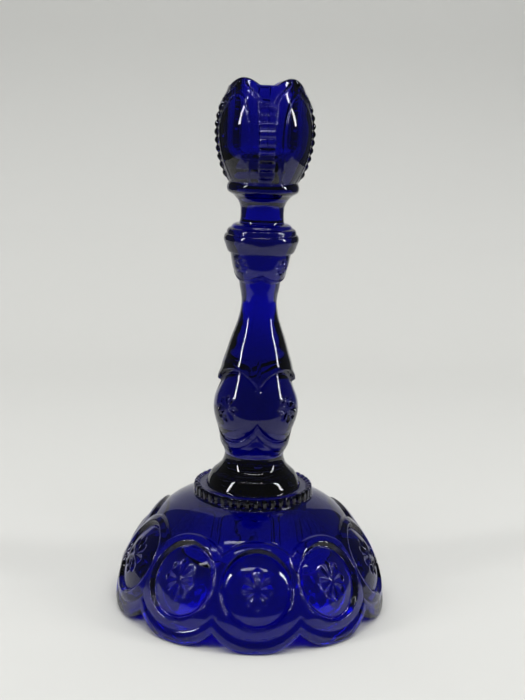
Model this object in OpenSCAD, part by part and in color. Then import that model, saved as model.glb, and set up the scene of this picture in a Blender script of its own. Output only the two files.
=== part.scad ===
// Pressed glass candlestick: a hollow domed foot with a scalloped edge and a band of medallions with stars,
// a toothed ring, a stem with two moulded knops, a stepped disc, and a four-petal socket for a household
// taper candle.
// Millimetres, +Z up, origin at the centre of the base on the table, one medallion of the foot facing -Y.

/* [Foot] */
// Radius of the dome's outer sphere
foot_r = 61.5; // [60.5:0.5:62.5]
// Depth of that sphere's centre below the table
foot_drop = 4.5; // [4.25:0.25:5]
// Height at which the foot meets the toothed ring
foot_top_z = 50.5; // [50:0.5:51]
// Wall thickness of the dome at its edge
foot_wall = 5.5; // [4:0.5:6]
// Height of the crown of the hollow under the foot
hollow_top_z = 44; // [39:1:45]
// Number of medallions round the foot
medallion_count = 10; // [9:1:11]
// Elevation of a medallion's centre seen from the sphere's centre
medallion_tilt = 29; // [28.5:0.25:29.5]
// Radius of a medallion of the foot
medallion_r = 14.4; // [13:0.2:15]
// Elevation of the middle of a scallop of the edge, seen from the sphere's centre
scallop_tilt = 25.5; // [25.25:0.25:25.75]
// Radius of the scallops
scallop_r = 23.4; // [23.3:0.1:23.7]

/* [Toothed ring] */
// Outer radius of the ring
ring_r = 26.9; // [26.4:0.1:27.2]
// Height of its toothed wall
ring_h = 5; // [4.5:0.5:5.5]
// Number of teeth
tooth_count = 44; // [36:1:48]
// Radius of the round groove between two teeth
tooth_groove_r = 1.1; // [0.8:0.1:1.3]

/* [Stem] */
// Height at which the stem meets the ring's flare
stem_z = 69.5; // [69:0.5:70]
// Height at which the stem meets the stepped disc
disc_z = 160.5; // [160:0.5:161]
// Height of the medallions' centres on the lower knop
knop_z = 92.5; // [92:0.5:94]
// Radius of the lower knop over its medallions
knop_r = 19; // [18.7:0.1:19.3]
// Height of the medallions' centres on the upper knop
high_knop_z = 156; // [155.5:0.5:157]
// Radius of the upper knop over its medallions
high_knop_r = 12.5; // [12.3:0.1:12.8]
// Radius of the stem at its waist
waist_r = 7.75; // [7:0.25:8.5]

/* [Stepped disc] */
// Largest radius of the disc
disc_r = 16.4; // [16:0.2:17]
// Height at which the disc meets the socket's neck
neck_z = 173.5; // [173:0.5:174]

/* [Socket] */
// Height of the petal tips above the table
petal_top_z = 235; // [234:0.5:236]
// Radius of the socket at its belly, over the petals
belly_r = 20.4; // [20:0.1:20.8]
// Radius of the neck
neck_r = 9.6; // [9:0.2:10.2]
// Radius of the bore that holds the candle
bore_r = 11.1; // [10.8:0.1:11.4]
// Length of that bore
bore_depth = 26; // [22:1:28]
// Teeth on each rib
rib_teeth = 10; // [9:1:12]
// Width of a rib
rib_w = 5.6; // [5:0.2:6.4]

/* [Hidden] */
$fn = 96;
glass = [0.03, 0.03, 0.55, 0.8];
reach = 40;             // how far a cutting tool runs past the surface that it cuts
relief = 1.1;           // depth of the moulded grooves
groove_w = 1.6;         // width of the groove round a medallion
star_points = 8;
crown_r = 70;           // radius of the crown of the hollow
joint_r = 13.4;         // radius of the joint between the ring's flare and the stem
ledge_z = foot_top_z + ring_h - 0.7;        // the flat ledge inside the ring of teeth
flare_h = stem_z - ledge_z;
flare_r = 20.7;
mouth_z = petal_top_z - 7;                  // where the bore opens into its flared mouth
bore_z = mouth_z - bore_depth;
mouth_r = 13.2;
petal_r = 13;                               // radius of a petal's round tip
petal_z = petal_top_z - petal_r;
tulip_z = 190.5;                            // where the petals start
tulip_h = petal_top_z - tulip_z;
collar_r = 15.4;                            // the small collar under the petals
rib_core_r = 12;                            // how far in towards the axis a rib reaches
rib_top_z = petal_top_z - 3;                // also the height of the rim between two petals
notch_r = 0.9;                              // radius of the notches between a rib's teeth
panel_z = 210.5;                            // height of the middle of a petal's panel

// Smooth curve through the given points, with n steps between two of them
function catmull(a, b, c, d, t) =
    b + (c - a) * t / 2 + (a - 2.5 * b + 2 * c - d / 2) * t * t + (-a + 3 * b - 3 * c + d) * t * t * t / 2;
function smooth(p, n = 4) = let (last = len(p) - 1) [
    for (i = [0 : last - 1], k = [0 : n - 1])
        catmull(p[max(i - 1, 0)], p[i], p[i + 1], p[min(i + 2, last)], k / n),
    p[last],
];
function star(tip_r, valley_r) = [
    for (i = [0 : 2 * star_points - 1])
        let (a = 180 * i / star_points, r = i % 2 == 0 ? tip_r : valley_r) [r * sin(a), r * cos(a)],
];
function oval(half_w, half_h, sides = 28) = [
    for (i = [0 : sides - 1]) let (a = 360 * (i + 0.5) / sides) [half_w * cos(a), half_h * sin(a)],
];

// A solid of revolution under an outline of [radius, height] points
module turned(outline) {
    rotate_extrude()
        polygon(concat([[0, outline[0].y]], outline, [[0, outline[len(outline) - 1].y]]));
}

// Stands its children's +Z outward, level, at each of four places round the axis
module four_ways(first, z) {
    for (i = [0 : 3])
        translate([0, 0, z])
            rotate([90, 0, first + 90 * i])
                children();
}

// Points its children's +Z from the sphere's centre, once for each medallion, at a given elevation
module round_foot(tilt) {
    for (i = [0 : medallion_count - 1])
        translate([0, 0, -foot_drop])
            rotate([90 - tilt, 0, 360 * i / medallion_count])
                children();
}

// The foot: a spherical dome with a scalloped edge, hollow underneath
module foot_blank() {
    intersection() {
        translate([0, 0, -foot_drop])
            sphere(r = foot_r, $fn = 144);
        cylinder(r = foot_r + 1, h = foot_top_z);
        union() {
            cylinder(r = 0.78 * foot_r, h = foot_top_z + 1);
            round_foot(scallop_tilt)
                translate([0, 0, 0.6 * foot_r])
                    cylinder(r = scallop_r, h = 0.6 * foot_r);
        }
    }
}

module foot_hollow() {
    intersection() {
        translate([0, 0, -foot_drop])
            sphere(r = foot_r - foot_wall, $fn = 144);
        translate([0, 0, hollow_top_z - crown_r])
            sphere(r = crown_r, $fn = 144);
    }
}

// Groove round a foot medallion, cut to one depth below the sphere, and the star at its middle
module foot_medallion_cut() {
    difference() {
        translate([0, 0, foot_r / 2])
            cylinder(r = medallion_r + groove_w, h = reach);
        cylinder(r = medallion_r, h = foot_r + reach);
        sphere(r = foot_r - relief, $fn = 144);
    }
    translate([0, 0, foot_r - relief])
        linear_extrude(reach)
            polygon(star(0.58 * medallion_r, 0.3 * medallion_r));
}

module foot() {
    color(glass)
        difference() {
            foot_blank();
            foot_hollow();
            round_foot(medallion_tilt)
                foot_medallion_cut();
        }
}

// The ring of teeth on top of the foot, with the flare that rises from it to the stem
module toothed_ring() {
    flare = [
        [flare_r, ledge_z],
        [flare_r - 0.1, ledge_z + 0.16 * flare_h],
        [flare_r - 1.8, ledge_z + 0.36 * flare_h],
        [flare_r - 3.4, ledge_z + 0.49 * flare_h],
        [joint_r + 1.8, ledge_z + 0.63 * flare_h],
        [joint_r + 0.6, ledge_z + 0.78 * flare_h],
        [joint_r, stem_z],
    ];
    wall = [
        [ring_r - 0.6, foot_top_z],
        [ring_r, foot_top_z + 0.6],
        [ring_r, foot_top_z + ring_h],
        [ring_r - 1.6, foot_top_z + ring_h],
        [ring_r - 2.2, ledge_z],
    ];
    color(glass)
        difference() {
            turned(concat(wall, smooth(flare)));
            for (i = [0 : tooth_count - 1])
                rotate(360 * i / tooth_count)
                    translate([ring_r + 0.3, 0, foot_top_z - 1])
                        cylinder(r = tooth_groove_r, h = ring_h + 3, $fn = 24);
        }
}

// The stem: a core of one smooth outline, and medallions and lobes that stand out from it on both knops
module stem_core() {
    turned(smooth([
        [joint_r, stem_z],
        [14, 74],
        [15.4, 82],
        [knop_r - 2.4, knop_z],
        [16.2, 103],
        [15.1, 111],
        [12.9, 119.5],
        [9.4, 131],
        [waist_r, 140],
        [9, 147.5],
        [10.7, 153.5],
        [12.2, disc_z],
    ]));
}

// A barrel-shaped skin that the medallions and lobes of a knop are cut from
module barrel(low, middle, high) {
    turned(smooth([low, middle, high], 8));
}

module knop_lobes(z, lobe_r, start) {
    four_ways(45, z)
        translate([0, 0, start])
            cylinder(r = lobe_r, h = reach);
}

// Medallions, and the lobes that hang below them
module lower_knop() {
    intersection() {
        barrel([15.6, 75], [knop_r, knop_z], [15.6, 111]);
        knop_lobes(knop_z, 16.4, 6);
    }
    intersection() {
        barrel([14.2, stem_z + 0.5], [15.6, 78], [16.4, 86]);
        knop_lobes(knop_z, 21.5, 6);
    }
}

module upper_knop() {
    intersection() {
        barrel([9.8, 146], [high_knop_r, high_knop_z], [13.2, disc_z]);
        knop_lobes(high_knop_z, 9.6, 4);
    }
}

// The star at the middle of each of a knop's four medallions
module knop_stars(z, surface_r, tip_r) {
    four_ways(45, z)
        translate([0, 0, surface_r - relief])
            linear_extrude(reach)
                polygon(star(tip_r, 0.5 * tip_r));
}

module stem() {
    color(glass)
        difference() {
            union() {
                stem_core();
                lower_knop();
                upper_knop();
            }
            knop_stars(knop_z, knop_r, 5);
            knop_stars(high_knop_z, high_knop_r, 3);
        }
}

// The disc between stem and neck, with two steps on top
module stepped_disc() {
    color(glass)
        turned([
            [13.8, disc_z],
            [15.4, disc_z + 3.5],
            [disc_r, disc_z + 5.6],
            [disc_r, disc_z + 7.2],
            [disc_r - 0.8, disc_z + 8.4],
            [disc_r - 1.6, disc_z + 8.6],
            [disc_r - 1.6, disc_z + 10.2],
            [disc_r - 2.4, disc_z + 11.2],
            [disc_r - 3.4, disc_z + 11.4],
            [disc_r - 4.2, neck_z],
        ]);
}

// The socket: neck, small collar, and a cup of four petals between four toothed ribs
module neck() {
    turned(concat(
        smooth([
            [neck_r + 0.6, neck_z],
            [neck_r, neck_z + 3],
            [neck_r + 0.5, neck_z + 9],
            [collar_r - 2.3, neck_z + 13],
        ]),
        [[collar_r, tulip_z - 2.7], [collar_r, tulip_z - 0.6], [collar_r - 0.6, tulip_z + 0.5]]
    ));
}

module tulip(inset = 0) {
    turned(smooth([
        [14.6 - inset, tulip_z],
        [belly_r - 2.6 - inset, tulip_z + 0.19 * tulip_h],
        [belly_r - 0.6 - inset, tulip_z + 0.36 * tulip_h],
        [belly_r - inset, tulip_z + 0.55 * tulip_h],
        [belly_r - 1.6 - inset, tulip_z + 0.78 * tulip_h],
        [15.2 - inset, petal_top_z],
    ]));
}

module rib_outline() {
    polygon(concat(
        [[rib_core_r, tulip_z]],
        smooth([
            [collar_r, tulip_z],
            [belly_r - 1.5, tulip_z + 0.19 * tulip_h],
            [belly_r + 0.3, tulip_z + 0.35 * tulip_h],
            [belly_r + 1.1, tulip_z + 0.53 * tulip_h],
            [belly_r + 0.4, tulip_z + 0.69 * tulip_h],
            [belly_r - 1.8, tulip_z + 0.82 * tulip_h],
            [belly_r - 4.2, rib_top_z],
        ]),
        [[rib_core_r, rib_top_z]]
    ));
}

// One rib, lying in the plane X-Z, with round notches between its teeth
module rib() {
    first_z = tulip_z + 4;
    pitch = (rib_top_z - 5 - first_z) / (rib_teeth - 1);
    difference() {
        rotate([90, 0, 0])
            linear_extrude(rib_w, center = true)
                rib_outline();
        for (i = [0 : rib_teeth - 1])
            let (z = first_z + i * pitch, rise = (z - tulip_z - 25) / 26)
                translate([belly_r + 1.6 * notch_r - 5.6 * rise * rise, 0, z])
                    rotate([90, 0, 0])
                        cylinder(r = notch_r, h = rib_w + 2, center = true, $fn = 24);
    }
}

// Oval groove round the panel of each petal, to one depth below the petal's skin
module petal_grooves() {
    difference() {
        four_ways(45, panel_z)
            translate([0, 0, 10])
                linear_extrude(reach)
                    difference() {
                        polygon(oval(8.6, 18));
                        polygon(oval(7.2, 16.4));
                    }
        tulip(0.8);
    }
}

// The space under the rim: level at the ribs, with a round tip over each petal
module petal_tips() {
    intersection() {
        cylinder(r = 2 * belly_r, h = petal_top_z);
        union() {
            cylinder(r = 2 * belly_r, h = rib_top_z);
            four_ways(45, petal_z)
                translate([0, 0, 2])
                    cylinder(r = petal_r, h = reach);
        }
    }
}

module socket() {
    color(glass)
        difference() {
            union() {
                neck();
                intersection() {
                    union() {
                        difference() {
                            tulip();
                            petal_grooves();
                        }
                        for (i = [0 : 3])
                            rotate(90 * i)
                                rib();
                    }
                    petal_tips();
                }
            }
            translate([0, 0, bore_z])
                cylinder(r = bore_r, h = bore_depth + reach);
            translate([0, 0, mouth_z])
                cylinder(r1 = bore_r, r2 = mouth_r, h = petal_top_z - mouth_z + 0.01);
        }
}

foot();
toothed_ring();
stem();
stepped_disc();
socket();
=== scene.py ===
"""The looks of a tall pressed glass candlestick: five closed glass meshes, one for each CAD node, with the
moulded relief of the foot, the ring of teeth, both knops and the petalled socket. Lengths inside the shape
functions are millimetres, and closed_mesh() turns them into metres in the frame of the CAD model."""

import math

import bpy
import numpy as np
from mathutils import Matrix, Vector


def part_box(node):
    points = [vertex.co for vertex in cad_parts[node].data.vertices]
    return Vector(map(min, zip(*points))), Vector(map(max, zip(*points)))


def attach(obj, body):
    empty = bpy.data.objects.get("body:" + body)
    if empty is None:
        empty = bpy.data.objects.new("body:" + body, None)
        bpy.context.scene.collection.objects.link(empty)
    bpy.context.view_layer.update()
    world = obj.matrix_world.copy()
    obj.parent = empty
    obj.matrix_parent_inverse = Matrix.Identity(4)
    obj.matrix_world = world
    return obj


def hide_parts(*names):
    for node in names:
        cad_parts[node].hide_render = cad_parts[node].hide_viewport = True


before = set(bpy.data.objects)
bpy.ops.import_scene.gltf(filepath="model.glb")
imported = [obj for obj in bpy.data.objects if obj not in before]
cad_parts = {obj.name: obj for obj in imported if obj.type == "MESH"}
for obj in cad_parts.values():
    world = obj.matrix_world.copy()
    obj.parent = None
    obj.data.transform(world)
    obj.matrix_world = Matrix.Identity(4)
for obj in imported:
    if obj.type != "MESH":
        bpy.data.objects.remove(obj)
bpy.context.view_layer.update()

MM = 0.001
GAP = 0.005                 # half the slit between two glass pieces
FRONT = -math.pi / 2        # azimuth of the front, -Y
QUARTERS = 4                # petals, ribs and the medallions of each knop all come in fours
BETWEEN = FRONT + math.pi / QUARTERS        # azimuth of the first petal and of the first knop medallion


def level(node, corner):
    """Height in mm of the bottom (0) or top (1) of a CAD node."""
    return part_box(node)[corner].z / MM


FOOT_TOP = level("foot", 1)
RING_TOP = level("toothed_ring", 1)
STEM_TOP = level("stem", 1)
DISC_TOP = level("stepped_disc", 1)
HEIGHT = level("socket", 1)


# ---------------------------------------------------------------- shape helpers

def ease(x, edge, width):
    """0 below edge and 1 above it, with a smooth step of that width."""
    t = np.clip((x - edge) / width + 0.5, 0, 1)
    return t * t * (3 - 2 * t)


def mix(a, b, share):
    """a where share is 0, and b where it is 1."""
    return a + (b - a) * share


def bead(x, centre, half_width):
    """A smooth bump of height 1 at centre."""
    t = np.clip(1 - ((x - centre) / half_width) ** 2, 0, 1)
    return t * t


def dome(share):
    """Height of a round swelling, 1 in its middle and 0 from share 1 outwards."""
    return np.clip(1 - share**2, 0, 1)


def soft_floor(x, sharpness):
    """x where it is well above 0, and 0 where it is well below, with a smooth bend between them."""
    return np.log1p(np.exp(x * sharpness)) / sharpness


def shares(count):
    """That many equal steps up to 1, the first of them above 0."""
    return np.linspace(0, 1, count + 1)[1:]


def outline(x, stations):
    """Smooth curve y(x) through (x, y) stations in rising order of x."""
    xs, ys = np.array(stations, float).T
    slope = np.gradient(ys, xs)
    x = np.clip(x, xs[0], xs[-1])
    i = np.clip(np.searchsorted(xs, x, side="right") - 1, 0, len(xs) - 2)
    h = xs[i + 1] - xs[i]
    t = (x - xs[i]) / h
    return (
        (2 * t**3 - 3 * t**2 + 1) * ys[i] + (t**3 - 2 * t**2 + t) * h * slope[i]
        + (3 * t**2 - 2 * t**3) * ys[i + 1] + (t**3 - t**2) * h * slope[i + 1]
    )


def section(points, spacing):
    """A smooth (radius, height) section through points, resampled at about that spacing."""
    steps_between = 40
    t = np.linspace(0, 1, steps_between, endpoint=False)[:, None]
    p = np.array(points, float)
    p = np.vstack([2 * p[0] - p[1], p, 2 * p[-1] - p[-2]])
    fine = []
    for a, b, c, d in zip(p, p[1:], p[2:], p[3:]):
        bend = (a - 2.5 * b + 2 * c - d / 2) * t**2
        twist = (1.5 * (b - c) + (d - a) / 2) * t**3
        fine.append(b + (c - a) * t / 2 + bend + twist)
    fine = np.vstack([*fine, p[-2:-1]])
    run = np.r_[0, np.cumsum(np.hypot(*np.diff(fine, axis=0).T))]
    at = np.linspace(0, run[-1], max(3, round(run[-1] / spacing)))
    return np.stack([np.interp(at, run, fine[:, 0]), np.interp(at, run, fine[:, 1])], 1)


def azimuths(columns):
    """That many equally spaced azimuths, from the front round."""
    return FRONT + np.arange(columns) * 2 * math.pi / columns


def fold(azimuth, count, first):
    """Angle from the nearest of count equally spaced azimuths, the first of them at first."""
    pitch = 2 * math.pi / count
    return (azimuth - first + pitch / 2) % pitch - pitch / 2


def round_row(radius, height, azimuth):
    """One ring of points; radius and height may vary round it."""
    r = np.broadcast_to(radius, azimuth.shape)
    z = np.broadcast_to(height, azimuth.shape)
    return np.stack([r * np.cos(azimuth), r * np.sin(azimuth), z], 1)


def oval_edge(x, y, half):
    """Distance, roughly, outside an oval of those half-axes, and the share of its size reached."""
    share = np.hypot(x / half[0], y / half[1])
    return (share - 1) * np.hypot(x, y) / np.maximum(share, 1e-6), share


STAR_PETALS = 8
STAR_HEART = 0.4            # share of the star's size from which its petals have their full depth
STAR_NOTCH = 0.16           # how much shorter the star is between two petals


def star_depth(x, y, half):
    """Depth, 0 to 1, of a star of wedge petals with V-shaped floors, in an oval of those half-axes."""
    x, y = x / half[0], y / half[1]
    away = np.hypot(x, y)
    off_petal = np.abs(fold(np.arctan2(y, x), STAR_PETALS, FRONT)) * STAR_PETALS / math.pi
    valley = 1 - off_petal
    tip = 1 - STAR_NOTCH * off_petal
    return valley * np.clip(away / STAR_HEART, 0, 1) * ease(tip - away, 0.06, 0.12)


# ---------------------------------------------------------------- meshes

CAP_SHARES = (0, 0.4, 0.8)          # rings of a flat joint plane, from its middle out


def cap_rings(radius, height, azimuth):
    """The rings of a flat joint plane inside its rim."""
    return [round_row(radius * share, height, azimuth) for share in CAP_SHARES]


def tube_faces(ring_count, columns):
    """Quads between neighbouring rings, and fans to the two end points, which come after the rings."""
    i = np.arange(ring_count - 1)[:, None] * columns
    j = np.arange(columns)
    k = (j + 1) % columns
    quads = np.stack([i + j, i + k, i + columns + k, i + columns + j], -1).reshape(-1, 4)
    first, last = ring_count * columns, ring_count * columns + 1
    top = (ring_count - 1) * columns
    fans = np.vstack([
        np.stack([np.full_like(j, first), k, j], 1),
        np.stack([np.full_like(j, last), top + j, top + k], 1),
    ])
    return quads, fans


def cap_faces(quad_count, columns, caps):
    """1 for each face of a joint plane and 0 for the others: quads first, then the fan of each end."""
    flags = np.zeros(quad_count + 2 * columns, np.float32)
    band = (len(CAP_SHARES) - 1) * columns
    if "first" in caps:
        flags[:band] = 1
        flags[quad_count : quad_count + columns] = 1
    if "last" in caps:
        flags[quad_count - band : quad_count] = 1
        flags[quad_count + columns :] = 1
    return flags


def mark_cap_edges(mesh, flags):
    """Makes the rim of a joint plane a sharp edge, so that it doesn't bend the shading of the wall beside."""
    loops = np.zeros(len(mesh.loops), np.int32)
    mesh.loops.foreach_get("edge_index", loops)
    totals = np.zeros(len(mesh.polygons), np.int32)
    mesh.polygons.foreach_get("loop_total", totals)
    per_loop = np.repeat(flags, totals)
    touching = np.bincount(loops, weights=per_loop, minlength=len(mesh.edges))
    sharp = mesh.attributes.new("sharp_edge", "BOOLEAN", "EDGE")
    sharp.data.foreach_set("value", touching == 1)


def closed_mesh(name, rows, caps):
    """A closed piece from rings of points that run from one point on the axis to another. caps names the
    ends, of "first" and "last", that are joint planes, where the glass runs on into the next piece."""
    first, last = rows[0].mean(0), rows[-1].mean(0)
    rings = np.stack(rows[1:-1])
    ring_count, columns = rings.shape[:2]
    verts = np.vstack([rings.reshape(-1, 3), first, last]) * MM
    quads, fans = tube_faces(ring_count, columns)
    mesh = bpy.data.meshes.new(name)
    mesh.from_pydata(verts.tolist(), [], quads.tolist() + fans.tolist())
    flags = cap_faces(len(quads), columns, caps)
    mesh.attributes.new("joint_plane", "FLOAT", "FACE").data.foreach_set("value", flags)
    mesh.shade_smooth()
    mark_cap_edges(mesh, flags)
    piece = bpy.data.objects.new(name, mesh)
    bpy.context.scene.collection.objects.link(piece)
    return piece


# ---------------------------------------------------------------- foot

DOME_R, DOME_DROP = 61.5, 4.5       # the dome's sphere and how far its centre lies under the table
CAP_R = math.sqrt(DOME_R**2 - (FOOT_TOP + DOME_DROP) ** 2)
WALL = 5.5
HOLLOW_TOP, HOLLOW_CROWN = 44.0, 70.0       # height of the hollow, and the radius of its crown
CROWN_BEND = 1.5                    # softness of the bend from the wall to the crown
SHOULDER_EL, SHOULDER_HALF = math.radians(51), math.radians(13)     # the swelling over the medallions
SHOULDER_RISE = 1.0

MEDALLIONS = 10
MEDALLION_EL = math.radians(29.2)   # elevation of a medallion's centre seen from the sphere's centre
FOOT_STAR_HALF = (6.9, 8.9)         # half-width and half-height of its star
DISC_HALF = (13.8, 15.0)            # the same for its disc
CREST_HALF = (15.5, 16.6)           # for the crest of the ring round it
RING_HALF = (21.4, 20.2)            # and for the outer edge of that ring
DISC_RISE, DISC_DOME = 0.2, 2.0
GROOVE_DEPTH = 0.55
CREST_RISE, RING_FALL = 1.75, 0.65

LOBE_EL = math.radians(26.5)        # elevation of the centre of a lobe of the edge
LOBE_R = 24.7                       # radius of a lobe along the sphere
LOBE_BEAD_R, LOBE_BEAD_HALF = 21.6, 4.6     # the rounded ridge along a lobe
LOBE_BEAD_Y = -2.8                  # its centre, from the middle of the medallion
LOBE_RISE, LOBE_BEAD_RISE = 0.1, 0.95

FOOT_COLUMNS = 640
LIP_R, INNER_LIP_R = 1.8, 1.2       # rounding of the lower edge, outside and inside
LIP_TURNS = np.radians([0, 12, 26, 42, 60, 78])
PATTERNED = 0.79                    # share of the outside, from the lip up, that gets the close rows


def near_medallion(azimuth, elevation):
    """Place on the sphere, in mm right of and above the middle of the nearest medallion."""
    turn = fold(azimuth, MEDALLIONS, FRONT)
    east = np.cos(elevation) * np.sin(turn)
    out = np.cos(elevation) * np.cos(turn)
    up = np.sin(elevation)
    north = up * math.cos(MEDALLION_EL) - out * math.sin(MEDALLION_EL)
    facing = np.clip(out * math.cos(MEDALLION_EL) + up * math.sin(MEDALLION_EL), -1, 1)
    angle = np.arccos(facing)
    scale = DOME_R * angle / np.maximum(np.sin(angle), 1e-6)
    return east * scale, north * scale


def foot_relief(azimuth, elevation):
    """Height of the moulded pattern over the sphere: star, disc, groove, ring and the bulge of each lobe."""
    x, y = near_medallion(azimuth, elevation)
    past_disc, disc_share = oval_edge(x, y, DISC_HALF)
    past_crest, _ = oval_edge(x, y, CREST_HALF)
    past_ring, _ = oval_edge(x, y, RING_HALF)
    disc = DISC_RISE + DISC_DOME * dome(disc_share) - star_depth(x, y, FOOT_STAR_HALF)
    across_ring = np.clip(past_crest / np.maximum(past_crest - past_ring, 0.5), 0, 1)
    ring = CREST_RISE - RING_FALL * across_ring**1.3
    ridge = bead(np.hypot(x, y - LOBE_BEAD_Y), LOBE_BEAD_R, LOBE_BEAD_HALF)
    outside = (LOBE_RISE + LOBE_BEAD_RISE * ridge) * ease(-y, 9, 6)
    height = mix(disc, -GROOVE_DEPTH, ease(past_disc, 0.2, 0.8))
    height = mix(height, ring, ease(past_crest, -0.45, 0.8))
    height = mix(height, outside, ease(past_ring, 0, 0.7))
    return height + SHOULDER_RISE * bead(elevation, SHOULDER_EL, SHOULDER_HALF)


def scallop_elevation(azimuth):
    """Elevation of the edge of the foot, level with the table on the lobes and raised between them."""
    turn = fold(azimuth, MEDALLIONS, FRONT)
    a, b = math.sin(LOBE_EL), math.cos(LOBE_EL) * np.cos(turn)
    below_centre = np.arccos(np.clip(math.cos(LOBE_R / DOME_R) / np.hypot(a, b), -1, 1))
    edge = np.arctan2(a, b) - below_centre
    on_table = math.asin(DOME_DROP / DOME_R)
    return on_table + soft_floor(edge - on_table, 160)


def hollow_radius(elevation):
    """Distance from the sphere's centre to the wall of the hollow: a sphere, with a flatter crown."""
    wall = DOME_R - WALL
    s = np.sin(elevation)
    centre = HOLLOW_TOP - HOLLOW_CROWN + DOME_DROP
    crown = centre * s + np.sqrt(HOLLOW_CROWN**2 - centre**2 * (1 - s**2))
    return -CROWN_BEND * np.log(np.exp(-wall / CROWN_BEND) + np.exp(-crown / CROWN_BEND))


def foot_row(distance, elevation, around):
    """A ring of points at that distance from the sphere's centre, none of them under the table."""
    height = np.maximum(distance * np.sin(elevation) - DOME_DROP, 0)
    return round_row(distance * np.cos(elevation), height, around)


def foot_outside(around, low):
    """Rings from the joint plane down over the pattern to the lip. low is the elevation of the lower edge."""
    top = math.asin((FOOT_TOP - GAP + DOME_DROP) / DOME_R)
    lip_top = LIP_R * (1 - math.cos(LIP_TURNS[-1])) / DOME_R
    climb = np.concatenate([shares(99) * PATTERNED, PATTERNED + shares(10) * (1 - PATTERNED)])
    rows = []
    for share in climb[::-1]:
        elevation = low + lip_top + (top - low - lip_top) * share
        over_edge = (elevation - low) * DOME_R
        rounding = LIP_R - np.sqrt(LIP_R**2 - np.clip(LIP_R - over_edge, 0, LIP_R) ** 2)
        relief = foot_relief(around, elevation) * ease((top - elevation) * DOME_R, 1.0, 2.0)
        rows.append(foot_row(DOME_R + relief - rounding, elevation, around))
    return rows


def foot_lip(around, low):
    """Rings round the lower edge, down its outside and up its inside."""
    rows = []
    for turn in LIP_TURNS[::-1]:
        elevation = low + LIP_R * (1 - math.cos(turn)) / DOME_R
        distance = DOME_R + foot_relief(around, elevation) - LIP_R * (1 - math.sin(turn))
        rows.append(foot_row(distance, elevation, around))
    for turn in LIP_TURNS:
        elevation = low + INNER_LIP_R * (1 - math.cos(turn)) / DOME_R
        distance = hollow_radius(elevation) + INNER_LIP_R * (1 - math.sin(turn))
        rows.append(foot_row(distance, elevation, around))
    return rows


def foot_hollow(around, low):
    """Rings from the lip up the wall of the hollow to the middle of its crown."""
    start = low + INNER_LIP_R * (1 - math.cos(LIP_TURNS[-1])) / DOME_R
    rows = []
    for share in shares(25):
        elevation = mix(start, math.pi / 2, share)
        rows.append(foot_row(hollow_radius(elevation), elevation, around))
    return rows


def foot():
    """The hollow domed foot, scalloped and with its ten medallions."""
    around = azimuths(FOOT_COLUMNS)
    low = scallop_elevation(around)
    rows = cap_rings(CAP_R, FOOT_TOP - GAP, around)
    rows += foot_outside(around, low) + foot_lip(around, low) + foot_hollow(around, low)
    return closed_mesh("glass_foot", rows[::-1], {"last"})


# ---------------------------------------------------------------- toothed ring

TEETH = 44
TOOTH_COLUMNS = 14                  # columns of the mesh for one tooth and its gap
TOOTH_SHARE, TOOTH_FLANK = 0.6, 0.6 # of the pitch: the tooth, and both its sloping flanks
TOOTH_DEPTH, TOOTH_DROP = 2.0, 0.9  # how far the floor of a gap lies behind the teeth, and below their tops
RING_R = 26.9
LEDGE_R, LEDGE_Z = RING_R - 2.3, FOOT_TOP + 4.2
STEM_FOOT_R = 13.4                  # radius of the joint plane between the flare and the stem


def toothed_wall():
    """Section of the ring of teeth, from the joint plane up over its top to the ledge behind it."""
    base = FOOT_TOP
    return section([
        (CAP_R, base + GAP), (CAP_R - 0.3, base + 0.25), (RING_R + 0.05, base + 0.8), (RING_R, base + 1.6),
        (RING_R, base + 3.8), (RING_R - 0.3, base + 4.65), (RING_R - 1.0, base + 5.0),
        (RING_R - 1.7, base + 4.8), (LEDGE_R, LEDGE_Z + 0.1),
    ], 0.25)


def flare_wall():
    """Section of the ledge and the flare that rises from it to the stem."""
    base = FOOT_TOP
    return section([
        (LEDGE_R, LEDGE_Z + 0.1), (23.4, LEDGE_Z), (22.2, LEDGE_Z + 0.05), (21.5, LEDGE_Z + 0.4),
        (21.1, base + 5.6), (20.4, base + 7.3), (18.9, base + 9.9), (17.2, base + 11.5),
        (15.2, base + 13.5), (14.1, base + 15.5), (13.5, base + 17.5), (STEM_FOOT_R, RING_TOP - GAP),
    ], 0.3)


def toothed_ring():
    """The ring of square teeth, with the flare that carries the stem."""
    around = azimuths(TEETH * TOOTH_COLUMNS)
    off_tooth = np.abs(fold(around, TEETH, FRONT)) * TEETH / math.pi
    groove = ease(off_tooth, TOOTH_SHARE, TOOTH_FLANK)
    rows = cap_rings(CAP_R, FOOT_TOP + GAP, around)
    for r, z in toothed_wall():
        depth = TOOTH_DEPTH * ease(z, FOOT_TOP + 0.8, 0.4) * ease(r, RING_R - 2.2, 0.9)
        drop = TOOTH_DROP * groove * ease(z, FOOT_TOP + 4.4, 0.8)
        rows.append(round_row(r - depth * groove, z - drop, around))
    rows += [round_row(r, z, around) for r, z in flare_wall()[1:]]
    rows += cap_rings(STEM_FOOT_R, RING_TOP - GAP, around)[::-1]
    return closed_mesh("glass_toothed_ring", rows, {"first", "last"})


# ---------------------------------------------------------------- stem

STEM_COLUMNS, STEM_ROWS = 360, 260
STEM_HEAD_R = 13.3                  # radius of the joint plane between the stem and the disc

KNOP_Z, KNOP_R = 92.2, 17.6         # middle of the lower knop's medallions, and its radius there
KNOP_DISC_R, KNOP_RING_R, KNOP_LOBE_R = 15.4, 17.7, 21.3
KNOP_DISC_Y, KNOP_DISC_DOME = 1.2, 0.9      # middle of a disc over the medallion's, and its swelling
KNOP_GROOVE_DEPTH = 0.45
KNOP_STAR_HALF, KNOP_STAR_Y, KNOP_STAR_DEPTH = (5.4, 6.2), 0.8, 1.2

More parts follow.
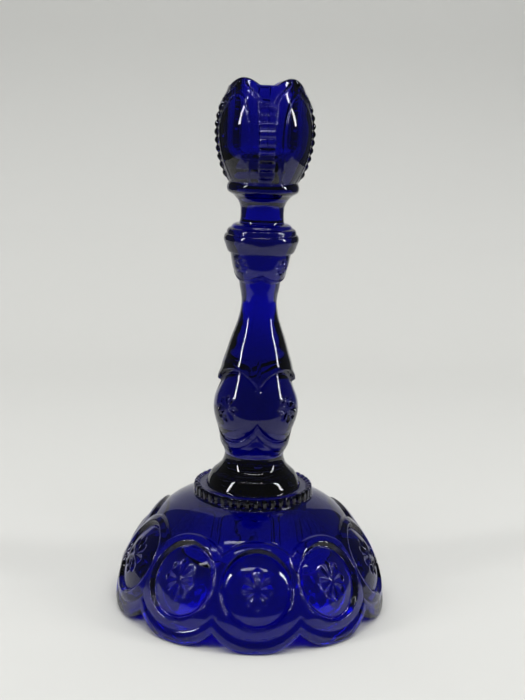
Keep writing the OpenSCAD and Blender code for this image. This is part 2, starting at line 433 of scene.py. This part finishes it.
HIGH_KNOP_Z, HIGH_KNOP_R = 155.5, 11.5
HIGH_KNOP_HALF = (11.9, 7.4)        # half-width and depth of its medallions, round below and straight above
HIGH_DOME_R, HIGH_DOME_RISE = 7, 0.35
HIGH_STAR_HALF, HIGH_STAR_DEPTH = (3.5, 3.8), 0.9
HIGH_EDGE_RISE = 0.25

SEAM_RISE, SEAM_HALF = 0.12, 0.28
SHAFT_R = 12                        # typical radius, which turns the seam's angle into mm


def knop_place(azimuth, height, radius, centre):
    """Place in mm right of and above the nearest of a knop's four medallions."""
    return fold(azimuth, QUARTERS, BETWEEN) * radius, height - centre


def plain_stem(away, z):
    """Radius outside the medallions: the flare and the lobes below the knop, and the waisted shaft above it.
    away is the distance from the nearest medallion of the lower knop."""
    shaft = outline(z, [
        (95, 17.5), (104, 17.35), (106, 17.1), (108, 16.3), (112, 15.25), (116, 13.95), (120, 12.75),
        (124, 11.4), (128, 9.95), (132, 8.7), (136, 7.95), (139, 7.7), (142, 8.0), (145, 8.6), (149, 9.2),
        (154, 10.2), (STEM_TOP, 12.2),
    ])
    flare = outline(z, [(RING_TOP, STEM_FOOT_R), (72, 13.9), (75, 14.9), (78, 15.2), (84, 15.4)])
    lobes = outline(z, [(RING_TOP, 13.5), (72, 14.4), (75, 15.6), (79, 15.8), (83, 16.6), (87, 17.6)])
    below = mix(flare, lobes, ease(KNOP_LOBE_R - away, 0, 0.9))
    return mix(below, shaft, ease(z, KNOP_Z + 2, 4))


def knop_medallion(x, y, z):
    """Radius inside a medallion of the lower knop: its disc, the groove round that and the star."""
    knop = outline(z, [
        (72, 15.3), (76, 16.0), (79, 16.3), (82, 16.9), (84, 17.5), (87, 18.3), (91, 18.75), (94, 18.5),
        (97, 17.8), (100, 16.7), (103, 15.6), (107, 14.4), (112, 13.6),
    ])
    away = np.hypot(x, y - KNOP_DISC_Y)
    groove = KNOP_GROOVE_DEPTH * bead(away, KNOP_DISC_R, 0.9)
    star = KNOP_STAR_DEPTH * star_depth(x, y - KNOP_STAR_Y, KNOP_STAR_HALF)
    return knop + KNOP_DISC_DOME * dome(away / KNOP_DISC_R) - groove - star


def high_medallion(x, y, z, past_edge):
    """Radius inside a medallion of the upper knop: star, round swelling and the bead along its edge."""
    knop = outline(z, [(146, 9.6), (149, 10.4), (152, 11.3), (154, 12.0), (157, 12.65), (STEM_TOP, 13.2)])
    star = HIGH_STAR_DEPTH * star_depth(x, y, HIGH_STAR_HALF)
    swelling = HIGH_DOME_RISE * dome(np.hypot(x, y) / HIGH_DOME_R) * ease(STEM_TOP - z, 0.8, 1.2)
    return knop - star + swelling + HIGH_EDGE_RISE * bead(past_edge, -0.7, 0.7)


def stem_radius(azimuth, z):
    """Radius of the stem, with the medallions of both knops."""
    x, y = knop_place(azimuth, z, KNOP_R, KNOP_Z)
    away = np.hypot(x, y)
    r = mix(plain_stem(away, z), knop_medallion(x, y, z), ease(KNOP_RING_R - away, 0, 1.0))
    x, y = knop_place(azimuth, z, HIGH_KNOP_R, HIGH_KNOP_Z)
    past_edge, _ = oval_edge(x, np.minimum(y, -0.01), HIGH_KNOP_HALF)
    inside = ease(-past_edge, 0, 0.7) * ease(z, 144, 2)
    return mix(r, high_medallion(x, y, z, past_edge), inside)


def mould_seam(azimuth):
    """The fine ridge left by the joint of the mould, at the front, back and sides."""
    off = np.abs(fold(azimuth, QUARTERS, FRONT)) * SHAFT_R
    return SEAM_RISE * np.exp(-((off / SEAM_HALF) ** 2))


def stem():
    """The stem with both its knops."""
    around = azimuths(STEM_COLUMNS)
    heights = np.linspace(RING_TOP + GAP, STEM_TOP - GAP, STEM_ROWS)
    seam = mould_seam(around)
    rows = cap_rings(STEM_FOOT_R, heights[0], around)
    for z in heights:
        off_joints = ease(z, RING_TOP + 0.6, 0.9) * ease(STEM_TOP - z, 0.5, 0.8)
        end_r = STEM_FOOT_R if z < KNOP_Z else STEM_HEAD_R
        r = stem_radius(around, np.full_like(around, z)) + seam
        rows.append(round_row(mix(end_r, r, off_joints), z, around))
    rows += cap_rings(STEM_HEAD_R, heights[-1], around)[::-1]
    return closed_mesh("glass_stem", rows, {"first", "last"})


# ---------------------------------------------------------------- stepped disc

DISC_COLUMNS = 160
NECK_R = 10.0


def stepped_disc():
    """The projecting disc with two steps on top."""
    around = azimuths(DISC_COLUMNS)
    z = STEM_TOP
    body = section([
        (STEM_HEAD_R, z + GAP), (14.2, z + 0.3), (14.8, z + 1.1), (15.7, z + 3.4), (16.4, z + 5.4),
        (16.5, z + 6.4), (16.2, z + 7.6), (15.8, z + 8.2), (15.45, z + 8.4), (15.3, z + 8.8),
        (15.2, z + 9.6), (14.8, z + 10.4), (14.2, z + 10.85), (13.8, z + 10.9), (13.4, z + 11.25),
        (12.7, z + 12.2), (11.6, z + 12.8), (NECK_R + 0.5, DISC_TOP - 0.12), (NECK_R, DISC_TOP - GAP),
    ], 0.2)
    rows = cap_rings(STEM_HEAD_R, z + GAP, around)
    rows += [round_row(r, height, around) for r, height in body]
    rows += cap_rings(NECK_R, DISC_TOP - GAP, around)[::-1]
    return closed_mesh("glass_stepped_disc", rows, {"first", "last"})


# ---------------------------------------------------------------- socket

SOCKET_COLUMNS, CUP_ROWS, BORE_ROWS = 400, 131, 21
CUP_Z = 191.2
RIM_R, RIM_LIP = 15.2, 1.1          # radius of the rim, and its rounding
RIM_FALL = 0.25                     # how much lower the rim is on its inside
PETAL_R, PETAL_RISE = 11.9, 3.0     # a petal's round tip, and how far it rises over the rim between petals
BORE_R, BORE_Z, FLOOR_ROUND = 11.1, 202.0, 6.0
MOUTH_Z, MOUTH_DEPTH, MOUTH_WIDER = 227.5, 7.5, 1.5     # where the bore starts to widen, and by how much

RIB_R, PANEL_R = 19, 20.2           # radii that turn the angles of ribs and panels into mm
LADDER_PITCH, LADDER_TOP = 3.53, 222.7      # spacing of the rungs, and the height of the top one
RUNG_RISE, RIB_RISE = 0.85, 0.25
BEAD_RISE = 0.85
BEAD_RUN, BEADS_PER_MM = (0.77, 0.64), 1.9 / math.pi    # direction of a row of beads, outwards and up
PANEL_HALF, PANEL_Z = (8.9, 17.0), 210.9    # a petal's outline: half-axes, and where its round top starts
PANEL_TAPER, PANEL_TAPER_HEIGHT = 2.4, 19   # how much narrower it gets below there, and over what height
PANEL_RISE = 0.28


def rim_height(azimuth):
    """Height of the rim, round over each petal and level between two."""
    off = RIM_R * np.sin(np.abs(fold(azimuth, QUARTERS, BETWEEN)))
    tip = PETAL_RISE - PETAL_R + np.sqrt(np.clip(PETAL_R**2 - off**2, 1, None))
    return HEIGHT - PETAL_RISE + soft_floor(tip, 6)


def rib_place(azimuth, z):
    """Distance in mm from the middle of the nearest rib, and its half-width, which spreads at the rim."""
    half = outline(z, [
        (CUP_Z, 3.3), (212, 3.1), (221, 3.5), (225.8, 4.6), (228, 6.6), (230, 9.2), (232, 12),
        (HEIGHT, 14),
    ])
    return np.abs(fold(azimuth, QUARTERS, FRONT)) * RIB_R, half


def rib(azimuth, z):
    """The raised rib between two petals, with its ladder of round rungs."""
    off, half = rib_place(azimuth, z)
    rungs = np.abs(np.cos(math.pi * (z - LADDER_TOP) / LADDER_PITCH))
    in_ladder = ease(z, CUP_Z + 1.2, 1.5) * ease(LADDER_TOP + 2 - z, 0, 1)
    return ease(half - off, 0, 0.9) * (RIB_RISE + RUNG_RISE * rungs * in_ladder)


def rim_beads(azimuth, z, rim):
    """The beads along both edges of a rib, where it spreads to meet the rim."""
    off, half = rib_place(azimuth, z)
    run = BEAD_RUN[0] * off + BEAD_RUN[1] * z
    near_rim = ease(z, 224, 2) * ease(rim - z, 1.4, 0.8)
    along = np.abs(np.sin(run * BEADS_PER_MM * math.pi))
    return BEAD_RISE * near_rim * bead(off - half, -0.6, 1.3) * along


def panel_line(azimuth, z):
    """The thin raised outline on a petal: round at the top and narrower towards the collar."""
    off = np.abs(fold(azimuth, QUARTERS, BETWEEN)) * PANEL_R
    narrower = PANEL_TAPER * np.clip((PANEL_Z - z) / PANEL_TAPER_HEIGHT, 0, 1) ** 1.5
    past_edge, _ = oval_edge(off + narrower, np.maximum(z - PANEL_Z, 0.01), PANEL_HALF)
    return PANEL_RISE * bead(past_edge, 0, 1.0)


def cup_radius(azimuth, z, rim):
    """Radius of the cup, with its petal outlines, ribs and beads."""
    body = outline(z, [
        (CUP_Z, 14.9), (193, 15.9), (196, 17.3), (200, 18.8), (205, 20.0), (210, 20.65), (214, 20.8),
        (218, 20.4), (222, 19.5), (226, 18.1), (230, 16.5), (233, 15.4), (HEIGHT, 14.8),
    ])
    return body + panel_line(azimuth, z) + rib(azimuth, z) + rim_beads(azimuth, z, rim)


def mouth_radius(z):
    """Radius of the candle bore, wider towards its mouth."""
    return BORE_R + MOUTH_WIDER * np.clip((z - MOUTH_Z) / MOUTH_DEPTH, 0, 1) ** 1.6


def neck_rows(around):
    """Rings from the joint plane up the neck and over the collar."""
    neck = section([
        (NECK_R, DISC_TOP + GAP), (9.65, 174.6), (9.5, 177), (9.55, 180), (10.1, 182), (11.3, 184),
        (12.9, 185.6), (14.6, 186.6), (15.5, 187.5), (15.75, 188.7), (15.6, 189.9), (15.3, 190.7),
        (14.9, CUP_Z),
    ], 0.4)
    return [round_row(r, z, around) for r, z in neck]


def rim_rows(around, rim, outer, inner):
    """Rings over the rounded rim, from the outer radius of the cup to the inner radius of its mouth."""
    shoulder = rim - RIM_LIP
    rows = []
    for turn in np.radians([22, 45, 68, 90]):
        r = outer - RIM_LIP * (1 - math.cos(turn))
        rows.append(round_row(r, shoulder + RIM_LIP * math.sin(turn), around))
    for share in (0.33, 0.67):
        r = mix(outer - RIM_LIP, inner + RIM_LIP, share)
        rows.append(round_row(r, rim - RIM_FALL * share, around))
    for turn in np.radians([90, 68, 45, 22, 0]):
        r = inner + RIM_LIP * (1 - math.cos(turn))
        rows.append(round_row(r, shoulder - RIM_FALL + RIM_LIP * math.sin(turn), around))
    return rows


def bore_rows(around, start):
    """Rings from the heights start down the candle bore and over its round-edged floor."""
    rows = []
    for share in shares(BORE_ROWS):
        z = mix(start, BORE_Z + FLOOR_ROUND, share)
        rows.append(round_row(mouth_radius(z), z, around))
    for turn in np.radians([15, 30, 45, 60, 75, 90]):
        r = BORE_R - FLOOR_ROUND * (1 - math.cos(turn))
        rows.append(round_row(r, BORE_Z + FLOOR_ROUND * (1 - math.sin(turn)), around))
    return rows + [round_row(r, BORE_Z, around) for r in (4, 2, 0)]


def socket():
    """The neck, the collar and the petalled cup with its bore for a candle."""
    around = azimuths(SOCKET_COLUMNS)
    rim = rim_height(around)
    shoulder = rim - RIM_LIP
    rows = cap_rings(NECK_R, DISC_TOP + GAP, around) + neck_rows(around)
    for share in shares(CUP_ROWS):
        z = mix(CUP_Z, shoulder, share)
        rows.append(round_row(cup_radius(around, z, rim), z, around))
    rows += rim_rows(around, rim, cup_radius(around, shoulder, rim), mouth_radius(shoulder))
    rows += bore_rows(around, shoulder - RIM_FALL)
    return closed_mesh("glass_socket", rows, {"first"})


# ---------------------------------------------------------------- glass

GLASS_IOR = 1.46
DEPTH_COLOUR, DEPTH_DENSITY = (0.45, 0.10, 0.927, 1), 900.0     # density x (1 - colour) is lost per metre
DARK_TINT, LIGHT_TINT = (0.30, 0.28, 0.86, 1), (0.42, 0.40, 0.95, 1)
CLEAR_ROUGHNESS, HAZE_ROUGHNESS = 0.008, 0.05
BROAD_NOISE = {"Scale": 28.0, "Detail": 2.0, "Roughness": 0.5}
FINE_NOISE = {"Scale": 420.0, "Detail": 3.0, "Roughness": 0.6}
RIPPLE_STRENGTH, RIPPLE_HEIGHT = 0.25, 0.0004
MIX_A, MIX_B, MIX_RESULT = 6, 7, 2      # the colour sockets of a Mix node


def node(tree, kind, place, **inputs):
    """A new shader node, with the inputs of those names set."""
    made = tree.nodes.new(kind)
    made.location = place
    for name, value in inputs.items():
        made.inputs[name.replace("_", " ")].default_value = value
    return made


def add_depth(tree, out):
    """Blue that deepens with the length of glass that the light crosses."""
    depth = node(tree, "ShaderNodeVolumeAbsorption", (0, -500), Color=DEPTH_COLOUR, Density=DEPTH_DENSITY)
    tree.links.new(depth.outputs["Volume"], out.inputs["Volume"])


def add_tint(tree, shader, broad):
    """A surface tint that varies a little over the piece."""
    tint = node(tree, "ShaderNodeMix", (-400, 150))
    tint.data_type = "RGBA"
    tint.inputs[MIX_A].default_value = DARK_TINT
    tint.inputs[MIX_B].default_value = LIGHT_TINT
    tree.links.new(broad.outputs["Fac"], tint.inputs["Factor"])
    tree.links.new(tint.outputs[MIX_RESULT], shader.inputs["Base Color"])


def add_haze(tree, shader, fine):
    """Faint spots of haze in the polish."""
    haze = node(
        tree, "ShaderNodeMapRange", (-400, -100),
        From_Min=0.3, From_Max=0.8, To_Min=CLEAR_ROUGHNESS, To_Max=HAZE_ROUGHNESS,
    )
    tree.links.new(fine.outputs["Fac"], haze.inputs["Value"])
    tree.links.new(haze.outputs["Result"], shader.inputs["Roughness"])


def add_ripple(tree, shader, broad):
    """The slow waviness of a fire-polished pressing."""
    ripple = node(tree, "ShaderNodeBump", (-400, -350), Strength=RIPPLE_STRENGTH, Distance=RIPPLE_HEIGHT)
    tree.links.new(broad.outputs["Fac"], ripple.inputs["Height"])
    tree.links.new(ripple.outputs["Normal"], shader.inputs["Normal"])


def hide_joint_planes(tree, shader):
    """Makes the faces of the joint planes invisible, so that the pieces look like one body of glass."""
    joint = node(tree, "ShaderNodeAttribute", (-400, -600))
    joint.attribute_name = "joint_plane"
    solid = node(tree, "ShaderNodeMath", (-200, -600))
    solid.operation = "SUBTRACT"
    solid.inputs[0].default_value = 1.0
    tree.links.new(joint.outputs["Fac"], solid.inputs[1])
    tree.links.new(solid.outputs["Value"], shader.inputs["Alpha"])


def cobalt_glass():
    """Cobalt glass, coloured by its depth, with the faint waviness and haze of a fire-polished pressing."""
    m = bpy.data.materials.new("cobalt_glass")
    m.use_nodes = True
    tree = m.node_tree
    tree.nodes.clear()
    out = node(tree, "ShaderNodeOutputMaterial", (300, 0))
    shader = node(tree, "ShaderNodeBsdfPrincipled", (0, 0), IOR=GLASS_IOR, Transmission_Weight=1.0)
    tree.links.new(shader.outputs["BSDF"], out.inputs["Surface"])

    coords = node(tree, "ShaderNodeTexCoord", (-1100, 0))
    broad = node(tree, "ShaderNodeTexNoise", (-900, 100), **BROAD_NOISE)
    fine = node(tree, "ShaderNodeTexNoise", (-900, -200), **FINE_NOISE)
    for texture in (broad, fine):
        tree.links.new(coords.outputs["Object"], texture.inputs["Vector"])

    add_depth(tree, out)
    add_tint(tree, shader, broad)
    add_haze(tree, shader, fine)
    add_ripple(tree, shader, broad)
    hide_joint_planes(tree, shader)
    return m


GLASS = cobalt_glass()
PIECES = {
    "foot": foot,
    "toothed_ring": toothed_ring,
    "stem": stem,
    "stepped_disc": stepped_disc,
    "socket": socket,
}
for cad_node, make in PIECES.items():
    piece = make()
    piece.data.materials.append(GLASS)
    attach(piece, "root")
    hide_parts(cad_node)


# ---------------------------------------------------------------- studio

CAMERA_AZ = -3.4            # degrees round from the front, towards -X
CAMERA_BACK = 0.5           # metres from the axis, level
CAMERA_UP = 0.222
CAMERA_AIM_UP, CAMERA_AIM_RIGHT = 0.1169, 0.0022    # metres from the origin to the middle of the picture
CAMERA_ROLL = math.radians(2.0)
CAMERA_LENS = 58.8
SENSOR_WIDTH = 36

STRIP_AIM = Vector((0, 0, 0.12))
STRIP_REACH = 1.2           # metres from there to a strip of light
SHEET_COLOUR, SHEET_ROUGHNESS = (0.60, 0.60, 0.575), 0.75
ROOM_COLOUR, ROOM_STRENGTH = (0.9, 0.95, 1.0, 1), 0.10


def direction(azimuth, elevation):
    """Unit vector from the candlestick, in degrees; azimuth 0 points at the camera and rises to its right."""
    a, e = math.radians(azimuth + CAMERA_AZ), math.radians(elevation)
    return Vector((math.sin(a) * math.cos(e), -math.cos(a) * math.cos(e), math.sin(e)))


def plain_material(name, colour, roughness):
    """An even, matt material for the setting."""
    m = bpy.data.materials.new(name)
    m.use_nodes = True
    shader = m.node_tree.nodes["Principled BSDF"]
    shader.inputs["Base Color"].default_value = (*colour, 1)
    shader.inputs["Roughness"].default_value = roughness
    return m


def backdrop():
    """A pale sheet that lies on the table and curves up into a wall behind the candlestick."""
    side, front, wall, bend, top = 0.5, -0.17, 0.75, 0.3, 1.6
    turns = np.linspace(0, math.pi / 2, 13)
    curve = [(wall - bend + bend * math.sin(t), bend - bend * math.cos(t)) for t in turns]
    profile = [(front, 0.0), *curve, (wall, top)]
    verts = [(x, y, z) for y, z in profile for x in (-side, side)]
    faces = [(2 * i, 2 * i + 1, 2 * i + 3, 2 * i + 2) for i in range(len(profile) - 1)]
    mesh = bpy.data.meshes.new("backdrop")
    mesh.from_pydata(verts, [], faces)
    mesh.shade_smooth()
    sheet = bpy.data.objects.new("backdrop", mesh)
    bpy.context.scene.collection.objects.link(sheet)
    mesh.materials.append(plain_material("pale_sheet", SHEET_COLOUR, SHEET_ROUGHNESS))


def area_light(name, place, target, size, power, in_glass=True):
    """A rectangular light turned to target, of that power in watts. in_glass says if the glass mirrors it."""
    data = bpy.data.lights.new(name, "AREA")
    data.shape = "RECTANGLE"
    data.size, data.size_y = size
    data.energy = power
    lamp = bpy.data.objects.new(name, data)
    lamp.location = place
    lamp.rotation_euler = (Vector(target) - Vector(place)).to_track_quat("-Z", "Y").to_euler()
    lamp.visible_glossy = in_glass
    bpy.context.scene.collection.objects.link(lamp)
    return lamp


def strip(name, low, high, width, power):
    """A long narrow soft light between two directions, facing the candlestick."""
    a = direction(*low) * STRIP_REACH + STRIP_AIM
    b = direction(*high) * STRIP_REACH + STRIP_AIM
    place, along = (a + b) / 2, (b - a).normalized()
    lamp = area_light(name, place, STRIP_AIM, (width, (b - a).length), power)
    across = along.cross((place - STRIP_AIM).normalized()).normalized()
    facing = across.cross(along).normalized()
    lamp.matrix_world = Matrix.Translation(place) @ Matrix((across, along, facing)).transposed().to_4x4()


def lights():
    """A dim room, a soft light overhead and one on the wall, and three strips that the glass mirrors."""
    world = bpy.data.worlds.new("room")
    bpy.context.scene.world = world
    world.use_nodes = True
    back = world.node_tree.nodes["Background"]
    back.inputs["Color"].default_value = ROOM_COLOUR
    back.inputs["Strength"].default_value = ROOM_STRENGTH
    area_light("overhead", (0, 0.4, 2.6), (0, 0.3, 0), size=(3.4, 3.4), power=72, in_glass=False)
    area_light("wall_wash", (0, -1.2, 1.9), (0, 0.75, 0.5), size=(2.4, 1.0), power=14, in_glass=False)
    strip("left", low=(-64, 12), high=(-60, 42), width=0.10, power=4.5)
    strip("right", low=(78, 12), high=(70, 42), width=0.10, power=4.5)
    strip("front_bar", low=(-45, 56), high=(45, 56), width=0.08, power=1.7)


def camera():
    """The view from half a metre away, level with the upper part of the socket."""
    data = bpy.data.cameras.new("camera")
    data.sensor_width = SENSOR_WIDTH
    data.lens = CAMERA_LENS
    cam = bpy.data.objects.new("camera", data)
    bpy.context.scene.collection.objects.link(cam)
    place = direction(0, 0) * CAMERA_BACK + Vector((0, 0, CAMERA_UP))
    right = direction(90, 0)
    target = Vector((0, 0, CAMERA_AIM_UP)) + right * CAMERA_AIM_RIGHT
    cam.matrix_world = (
        Matrix.Translation(place)
        @ (target - place).to_track_quat("-Z", "Y").to_matrix().to_4x4()
        @ Matrix.Rotation(CAMERA_ROLL, 4, "Z")
    )
    bpy.context.scene.camera = cam


backdrop()
lights()
camera()
bpy.context.scene.view_settings.view_transform = "Standard"
